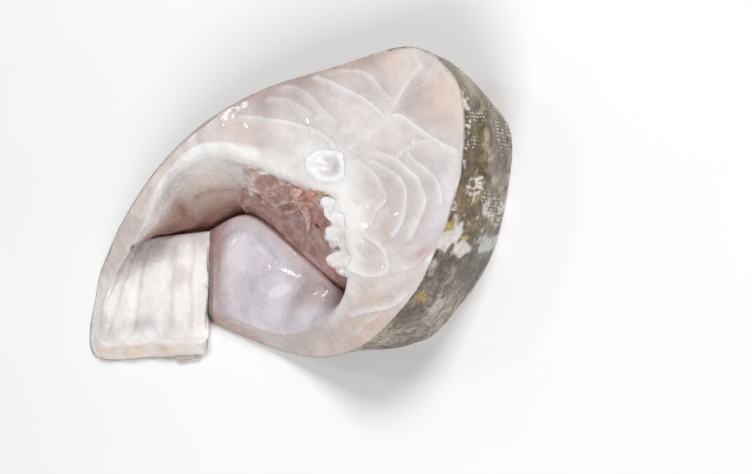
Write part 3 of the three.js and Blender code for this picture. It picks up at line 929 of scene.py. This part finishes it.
def scale_nodes(add, named, source):
    """One thin oval scale on every seat, turned to the skin and tipped up at its free end."""
    ball = add("GeometryNodeMeshIcoSphere", {"Radius": 0.5, "Subdivisions": 1}, "Mesh")
    sizes = {k: source[key] for k, key in enumerate(("Scale length", "Scale width", "Thickness"))}
    shape = add("GeometryNodeTransform", {"Geometry": ball, "Scale": add("ShaderNodeCombineXYZ", sizes)})
    align = "FunctionNodeAlignRotationToVector"
    turn = add(align, {"Vector": named("facing", "FLOAT_VECTOR")}, axis="Z")
    lay = named("lay", "FLOAT_VECTOR")
    turn = add(align, {"Rotation": turn, "Vector": lay}, axis="X", pivot_axis="Z")
    limits = {0: tuple(-x for x in WOBBLE), 1: WOBBLE}
    wobble = add("FunctionNodeRandomValue", {**limits, "Seed": source["Seed"]}, data_type="FLOAT_VECTOR")
    lower = add("ShaderNodeMath", {0: source["Tilt"], 1: -1.0}, operation="MULTIPLY")
    total = add("ShaderNodeVectorMath", {0: add("ShaderNodeCombineXYZ", {1: lower}), 1: wobble})
    tip = add("FunctionNodeEulerToRotation", {0: total})
    turn = add("FunctionNodeRotateRotation", {"Rotation": turn, "Rotate By": tip}, rotation_space="LOCAL")
    return add("GeometryNodeInstanceOnPoints", {"Points": source["Geometry"], "Instance": shape,
                                                "Rotation": turn, "Scale": named("size", "FLOAT")})


def thread_nodes(add, named, source):
    """A round thread along every line, as thick as its points say."""
    curve_line = add("GeometryNodeMeshToCurve", {0: source["Geometry"]})
    ring = add("GeometryNodeCurvePrimitiveCircle", {"Radius": 1.0, "Resolution": source["Sides"]})
    return add("GeometryNodeCurveToMesh", {"Fill Caps": True, "Curve": curve_line, "Profile Curve": ring,
                                           "Scale": named("thick", "FLOAT")})


def grow(seat, name, material, sizes, build):
    """Runs a tree of geometry nodes on an object and keeps the result as a plain mesh."""
    tree = bpy.data.node_groups.new(name, "GeometryNodeTree")

    def socket(key, way, kind):
        tree.interface.new_socket(key, in_out=way, socket_type="NodeSocket" + kind)

    socket("Geometry", "INPUT", "Geometry")
    for key, value in sizes.items():
        socket(key, "INPUT", "Int" if isinstance(value, int) else "Float")
    socket("Geometry", "OUTPUT", "Geometry")

    def add(kind, inputs, output=0, **settings):
        return make_node(tree, kind, inputs, output, **settings)

    def named(key, kind):
        return add("GeometryNodeInputNamedAttribute", {"Name": key}, "Attribute", data_type=kind)

    made = build(add, named, tree.nodes.new("NodeGroupInput").outputs)
    for kind in ("RealizeInstances", "SetShadeSmooth"):
        made = add("GeometryNode" + kind, {0: made})
    made = add("GeometryNodeSetMaterial", {"Geometry": made, "Material": material})
    add("NodeGroupOutput", {0: made})

    modifier = seat.modifiers.new(name, "NODES")
    modifier.node_group = tree
    for item in tree.interface.items_tree:
        if getattr(item, "in_out", "") == "INPUT" and item.name in sizes:
            modifier[item.identifier] = sizes[item.name]
    seat.update_tag()
    made = evaluated(seat)
    made.name = name
    seat.modifiers.clear()
    bpy.data.objects.remove(seat)
    return placed(name, made)


# ---------------------------------------------------------------- backbone

# The rim and the hollow of the ring: share of its radius, depth under its top.
BONE_PROFILE = [
    (0.04, 2.75), (0.12, 2.7), (0.22, 2.4), (0.34, 1.9), (0.45, 1.3), (0.54, 0.75), (0.61, 0.35),
    (0.68, 0.1), (0.76, 0.0), (0.84, 0.05), (0.92, 0.14), (0.98, 0.3), (1.02, 0.5), (1.03, 1.0),
]


def make_backbone(material):
    """A column of bone with a soft round rim and a shallow hollow in each end."""
    angle = np.linspace(0, 2 * np.pi, 120, endpoint=False)
    top = THICKNESS + BONE_PROUD
    rows = BONE_PROFILE + [(1.0, z) for z in (8, 20, 33)]
    rows += [(scale, top - depth) for scale, depth in BONE_PROFILE[::-1]]
    scale, z = np.array(rows).T[:, :, None]
    radius = ring_outline(angle) * scale
    drift = 1.2 * (1 - scale)
    place = np.stack([radius * np.cos(angle) + drift, radius * np.sin(angle) + drift * 0.4,
                      z + 0 * radius], -1)
    rim = step(scale, 0.4, 0.75) * (scale < 0.999) * (place[..., 2] > 20)
    place[..., 2] += (0.14 * lumps(place, 4, 30) + 0.04 * lumps(place, 1.6, 31)) * rim
    place[..., 2] = np.clip(place[..., 2], 0, top + 0.1)
    tint = painted((250, 249, 249), [
        ((230, 227, 227), 0.9 * drop(scale + 0 * radius, 0.42, 0.72)),
        ((196, 184, 178), 0.7 * spot(place[..., 0], place[..., 1], 2.5, 1.2, 2.2)),
    ])
    return tube_piece("backbone_ring", place, material, tint=tint)


# ---------------------------------------------------------------- torn bits in the cavity

def lump(middle, radii, turn, seed, rough):
    """A small broken lump: a ball pulled out of shape."""
    rows, around = 12, 16
    lat = math.pi * (np.arange(rows + 1) + 0.3)[:, None] / (rows + 0.6)
    lon = 2 * math.pi * np.arange(around) / around
    ball = np.stack([np.sin(lat) * np.cos(lon), np.sin(lat) * np.sin(lon), np.cos(lat) + 0 * lon], -1)
    size = 1 + rough * lumps(ball, 0.55, seed) + 0.5 * rough * lumps(ball, 0.25, seed + 1)
    c, s = math.cos(turn), math.sin(turn)
    return ball * size[..., None] * radii @ np.array([[c, s, 0], [-s, c, 0], [0, 0, 1]]) + middle


def join_tubes(tubes):
    """The points and faces of several closed tubes in one mesh."""
    points, faces, start = [], [], 0
    for tube in tubes:
        count, around = tube.shape[:2]
        points.append(tube.reshape(-1, 3))
        faces += [[start + k for k in face] for face in quads_of_tube(count, around) + caps(count, around)]
        start += count * around
    return np.concatenate(points), faces


# Broken white ends that stand out under the cut face, right of the backbone, in three scallops:
# middle, half sizes across and along the edge and down, turn of the first in degrees.
BROKEN = [
    ((10.8, -10.2, 41.2), (4.8, 3.2, 4.6), 25),
    ((14.4, -11.0, 41.6), (5.2, 4.2, 5.4), 44),
    ((19.2, -10.6, 41.2), (5.2, 5.0, 5.6), 44),
    ((20.6, -16.9, 39.8), (6.6, 3.7, 5.6), 40),
    ((22.6, -19.2, 38.6), (4.4, 2.4, 5.0), 60),
    ((25.9, -15.8, 41.2), (5.2, 5.2, 5.4), 44),
    ((27.8, -23.0, 39.2), (6.8, 3.2, 5.6), 44),
    ((29.0, -25.6, 37.6), (5.6, 2.0, 5.4), 38),
    ((32.1, -20.2, 40.8), (5.2, 5.2, 5.4), 44),
    ((32.4, -26.4, 36.4), (5.0, 2.0, 5.8), 34),
    ((35.4, -23.8, 38.8), (3.8, 3.6, 5.8), 44),
]


FUSE_VOXEL = 0.0004
EASE_ROUNDS = 5


def soften(piece):
    """Fuses overlapping lumps into one skin and eases its creases."""
    remesh = piece.modifiers.new("fuse", "REMESH")
    remesh.mode = "VOXEL"
    remesh.voxel_size = FUSE_VOXEL
    ease = piece.modifiers.new("ease", "SMOOTH")
    ease.iterations = EASE_ROUNDS
    ease.factor = 0.5
    made = evaluated(piece)
    bpy.data.objects.remove(piece)
    return points_of(made) * 1000 + CENTRE, [list(polygon.vertices) for polygon in made.polygons]


def make_chips(flesh_finish, lining_finish):
    """Broken ends of bone and flesh, like worn blocks run together, and the bits beside them."""
    tubes = [lump(middle, radii, math.radians(turn), 40 + 2 * number, 0.2)
             for number, (middle, radii, turn) in enumerate(BROKEN)]
    points, faces = soften(make_piece("broken_lumps", *join_tubes(tubes), flesh_finish))
    rough = 0.3 * lumps(points, 3, 33) + 0.12 * lumps(points, 1.4, 34)
    points = points + rough[:, None] * [0.5, 0.5, 0.7]
    lower = step(points[:, 0], 15, 22)
    level = THICKNESS - 0.5 - 1.1 * lower + 0.35 * lumps(points, 4, 35)
    over = np.maximum(points[:, 2] - level, 0)
    points[:, 2] -= 0.85 * over
    # Greyer on the lower scallops and darker pink low down: painted shade.
    tint = painted((248, 245, 243), [
        ((236, 231, 230), lower),
        ((222, 202, 196), 0.6 * step(lumps(points, 3.4, 31), 0.0, 0.6) * step(43 - points[:, 2], 0, 8)),
        ((216, 204, 202), 0.6 * step(lumps(points, 2.0, 32), 0.2, 0.7)),
    ])
    white = make_piece("broken_ends", points, faces, flesh_finish, tint=tint, sheet=np.zeros(points.shape))

    tip = lump((5.4, -8.8, 43.0), (3.6, 1.3, 1.5), math.radians(38), 90, 0.3)
    clot = lump((0.9, -11.3, 41.2), (2.9, 1.4, 3.0), 0.15, 94, 0.4)
    tint = np.concatenate([
        painted((186, 156, 124), [((226, 212, 190), step(tip[..., 0], 5, 8.5))]),
        painted((208, 150, 136), [((224, 190, 178), step(lumps(clot, 2, 95), 0, 0.6))]),
    ])
    return white, make_piece("blood_spot", *join_tubes([tip, clot]), lining_finish, tint=tint)


# Folds of torn lining on the wall under the backbone: width, height, colour, then points as
# the place along the section table and the share of the way down the wall.
FOLDS = [
    (1.3, 1.6, (232, 224, 218), [(8.5, 0.06), (8.22, 0.22), (8.02, 0.45), (7.94, 0.68), (7.8, 0.88)]),
    (1.8, 1.2, (222, 208, 200), [(8.0, 0.5), (8.35, 0.56), (8.5, 0.68), (8.25, 0.76)]),
    (2.6, 2.0, (214, 178, 166), [(9.1, 0.08), (8.8, 0.22), (8.55, 0.36), (8.5, 0.48)]),
    (2.0, 2.4, (226, 206, 198), [(9.75, 0.24), (9.35, 0.34), (9.05, 0.48), (8.75, 0.6)]),
    (3.8, 3.4, (222, 184, 174), [(9.5, 0.14), (9.85, 0.28), (10.25, 0.42), (10.5, 0.58), (10.6, 0.76)]),
    (1.3, 4.2, (242, 222, 214), [(9.6, 0.04), (9.7, 0.18), (10.05, 0.33), (10.38, 0.5), (10.52, 0.66)]),
    (2.4, 1.8, (200, 158, 148), [(9.7, 0.42), (9.4, 0.58), (9.0, 0.72), (8.6, 0.84)]),
    (1.3, 1.4, (222, 198, 190), [(9.55, 0.5), (9.2, 0.66), (8.8, 0.78)]),
    (2.2, 1.6, (190, 144, 134), [(10.7, 0.2), (11.0, 0.34), (11.1, 0.5)]),
]
LINING_FROM, LINING_TO = (7.6, 0.05), (11.9, 0.93)
WALL_MM = (12.6, 53)  # a step along the table and the whole height of the wall, in millimetres
LINING_GRID = 130  # points along each side of the lining
LINING_DEEP = 2.6  # how far its back lies in the wall


def make_lining(material):
    """A torn sheet of lining in soft folds, its back and edges sunk in the wall."""
    (u0, s0), (u1, s1) = LINING_FROM, LINING_TO
    u, s = np.meshgrid(*(np.linspace(*ends, LINING_GRID) for ends in ((u0, u1), (s0, s1))), indexing="ij")
    corners = corners_at(u[:, 0])
    lip, foot = corners[:, None, LIP], corners[:, None, FOOT]
    wall = lip + (foot - lip) * s[..., None]
    out = -normals_of_sheet(wall)
    out = np.where(np.sum(out * inward_at(corners)[:, None], -1, keepdims=True) < 0, -out, out)
    x, y = (k * mm + 0.5 * lumps(wall, 4, seed) for k, mm, seed in zip((u, s), WALL_MM, (63, 64)))
    height = 0.2 + 0.5 * lumps(wall, 5, 60) + 0.25 * lumps(wall * [1, 1, 0.4], 2, 61)
    coats = [((172, 124, 112), step(lumps(wall, 7, 62), 0.05, 0.65))]
    shade = np.zeros(u.shape)
    for width, tall, colour, points in FOLDS:
        near = distance_to_line(x, y, np.array(points) * WALL_MM)[0]
        height = np.maximum(height, tall * drop(near, 0.15 * width, 1.25 * width) - 0.3)
        coats.append((colour, 0.92 * drop(near, 0.5 * width, 1.15 * width)))
        shade = np.maximum(shade, bump(near, 1.5 * width, 0.4 * width))
    red = spot(u, s, 9.95, 0.12, 0.28, 0.11)
    by_lip = drop(s + 0.05 * lumps(wall, 4, 66), 0.07, 0.15) * (1 - red) * drop(u, 9.0, 9.4)
    tint = painted((216, 181, 170), coats + [
        ((140, 88, 78), 0.5 * shade),
        ((214, 156, 142), 0.9 * red),
        (DULL_PINK, step(s, 0.62, 0.8) * step(u, 9.3, 10)),
        (DULL_PINK, step(u, 10.9, 11.5)),
        (WHITE, 0.9 * drop(u + 0.25 * lumps(wall, 4, 65), 8.0, 8.35) * drop(s, 0.6, 0.9)),
        (WHITE, 0.8 * by_lip),
    ])
    inner = np.minimum(step(u, u0, u0 + 0.5), drop(u, u1 - 0.5, u1))
    inner = inner * step(s, s0, s0 + 0.05) * drop(s, s1 - 0.1, s1)
    height = height * inner - 2.4 * (1 - inner)
    front, back = wall + out * height[..., None], wall - out * LINING_DEEP
    return sheet_piece("torn_lining", front, back, material, tint)


HEM_DEEP = 2.2
# The hem's line in plan, along the edges of both flaps, left to right.
HEM = [(-30, -46.4), (-26, -44.4), (-14, -43.2), (0, -42.3), (14, -41.4), (27, -40.4)]


def make_foot_lining(material):
    """The loose hem of the lining, which bridges from the wall's foot to the edges of the flaps."""
    line = smooth_line(HEM, 22)
    along = np.linspace(0, 1, len(line))[:, None]
    across = np.linspace(0, 1, 20)[None]
    way = unit(np.gradient(line, axis=0))
    to_wall = np.stack([-way[:, 1], way[:, 0]], 1)[:, None]
    reach = -1.6 + 18 * across * (0.3 + 0.7 * step(along, 0.0, 0.25))
    plan = line[:, None] + to_wall * reach[..., None]
    flat = np.concatenate([plan, 0 * plan[..., :1]], -1)
    z = 9.0 + 12 * across ** 1.5 + 0.6 * lumps(flat, 9, 70) + 0.15 * lumps(flat, 2.6, 71)
    z = z - 2.5 * step(along, 0.86, 1.0) - 3.5 * drop(along, 0.0, 0.2)
    top = np.concatenate([plan, z[..., None]], -1)
    tint = painted((190, 160, 157), [
        ((170, 134, 130), step(lumps(top, 9, 72), 0, 0.7)),
        # Dark along the edges of the flaps: painted shade in the crease.
        ((140, 92, 84), 0.9 * drop(across + 0 * z, 0.06, 0.22)),
    ])
    return sheet_piece("lining_hem", top, top - [0, 0, HEM_DEEP], material, tint)


THREADS = 5
THREAD_POINTS = 15


def make_strands(material):
    """Fine pale threads and vessels stretched over the torn lining."""
    rng = np.random.default_rng(5)
    points, thick = [], []
    t = np.linspace(0, 1, THREAD_POINTS)[:, None]
    for _ in range(THREADS):
        u = rng.uniform(8.6, 10.3)
        s0, s1 = rng.uniform(0.0, 0.4), rng.uniform(0.45, 0.85)
        drift, sway, width = rng.normal(-0.25, 0.4), rng.uniform(0, 6), rng.uniform(0.14, 0.34)
        corners = corners_at((u + drift * t + 0.06 * np.sin(5 * t + sway))[:, 0])
        s = s0 + (s1 - s0) * t
        stand = inward_at(corners) * (0.4 + 1.6 * np.sin(math.pi * t))
        points.append(corners[:, LIP] * (1 - s) + corners[:, FOOT] * s + stand)
        thick.append(width * (0.35 + 0.65 * np.sin(math.pi * (0.1 + 0.8 * t[:, 0]))) / 1000)
    count = THREADS * THREAD_POINTS
    edges = [(k - 1, k) for k in range(count) if k % THREAD_POINTS]
    fields = {"thick": np.concatenate(thick), "tint": np.tile(tone((224, 204, 196)), (count, 1))}
    line = placed("strand_lines", new_mesh("strand_lines", points, edges, [], fields))
    return grow(line, "lining_threads", material, {"Sides": 7}, thread_nodes)


# ---------------------------------------------------------------- light, floor and camera

FLOOR_HALF = 4  # metres
FLOOR_GAP = 0.0002
ROOM_LIGHT = 0.22
# Lamps: name, bearing, height, distance, side, power.
LAMPS = [
    ("window", 345, 50, 1.4, 0.4, 10.8),
    ("front fill", 128, 50, 1.5, 0.8, 11.0),
    ("glint", 258, 54, 1.4, 0.12, 1.0),
]


def make_floor():
    look = Look("pale table")
    shade = look.remap(look.noise(6, 2), 0.3, 0.7)
    material = look.finish(look.mix(shade, (0.93, 0.93, 0.935), (0.95, 0.95, 0.95)), 0.75)
    mesh = bpy.data.meshes.new("floor")
    corners = [(-FLOOR_HALF, -FLOOR_HALF, 0), (FLOOR_HALF, -FLOOR_HALF, 0),
               (FLOOR_HALF, FLOOR_HALF, 0), (-FLOOR_HALF, FLOOR_HALF, 0)]
    mesh.from_pydata(corners, [], [(0, 1, 2, 3)])
    mesh.materials.append(material)
    floor = placed("floor", mesh)
    floor.location.z = -FLOOR_GAP


CAMERA_BEARING = 60.8  # degrees from +Y towards +X
CAMERA_HEIGHT = 66.0  # degrees over the table
CAMERA_TIP = math.atan2(10, -45)  # turn about its own axis, so that the cut runs across the picture
CAMERA_AIM = Vector((25.47, -11.98, 20.0))  # the place in the middle of the picture
CAMERA_AWAY = 760.0
IMAGE_WIDTH = 752
PIXELS_PER_MM = 2.5
SENSOR = 36


def direction(bearing, height):
    """Unit vector towards a bearing from +Y towards +X and a height, both in degrees."""
    turn, rise = math.radians(bearing), math.radians(height)
    return Vector((math.sin(turn) * math.cos(rise), math.cos(turn) * math.cos(rise), math.sin(rise)))


def make_camera():
    back = direction(CAMERA_BEARING, CAMERA_HEIGHT)
    rise = Vector((0, 0, 1))
    rise = (rise - back * rise.dot(back)).normalized()
    side = back.cross(rise)
    right = math.cos(CAMERA_TIP) * rise - math.sin(CAMERA_TIP) * side
    up = math.sin(CAMERA_TIP) * rise + math.cos(CAMERA_TIP) * side
    camera = bpy.data.cameras.new("camera")
    camera.sensor_width = SENSOR
    camera.lens = CAMERA_AWAY * PIXELS_PER_MM * SENSOR / IMAGE_WIDTH
    camera.clip_start = 0.01
    camera.clip_end = 20
    holder = placed("camera", camera)
    stand = (CAMERA_AIM - Vector(CENTRE) + back * CAMERA_AWAY) / 1000
    holder.matrix_world = Matrix.Translation(stand) @ Matrix((right, up, back)).transposed().to_4x4()
    bpy.context.scene.camera = holder


def make_lamp(name, bearing, height, away, size, power):
    """A square soft lamp that shines at the middle of the steak."""
    lamp = bpy.data.lights.new(name, "AREA")
    lamp.shape = "SQUARE"
    lamp.size = size
    lamp.energy = power
    holder = placed(name, lamp)
    holder.location = direction(bearing, height) * away
    holder.rotation_mode = "QUATERNION"
    holder.rotation_quaternion = holder.location.to_track_quat("Z", "Y")


def make_light():
    world = bpy.data.worlds.new("soft room")
    bpy.context.scene.world = world
    world.use_nodes = True
    background = world.node_tree.nodes["Background"].inputs
    background["Color"].default_value = (1.0, 1.0, 1.0, 1)
    background["Strength"].default_value = ROOM_LIGHT
    for lamp in LAMPS:
        make_lamp(*lamp)


bpy.context.scene.view_settings.view_transform = "Standard"

flesh_finish = flesh_material()
skin_finish = skin_material()
bone_finish = bone_material()
lining_finish = membrane_material()

flesh = make_flesh(flesh_finish)
skin, skin_u, skin_s, skin_outer = make_skin(skin_finish)
scales = make_scales(skin_u, skin_s, skin_outer, skin_finish)
backbone = make_backbone(bone_finish)
broken, blood = make_chips(flesh_finish, lining_finish)
lining = make_lining(lining_finish)
hem = make_foot_lining(lining_finish)
threads = make_strands(lining_finish)

for piece, node, slot in (
        (flesh, "flesh", "flesh"), (skin, "flesh", "skin"), (scales, "flesh", "skin"),
        (backbone, "backbone", "backbone"), (broken, "flesh", "flesh"), (blood, "flesh", "flesh"),
        (lining, "flesh", "flesh"), (hem, "flesh", "flesh"), (threads, "flesh", "flesh")):
    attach(piece, "root")
    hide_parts(node)

make_floor()
make_light()
make_camera()
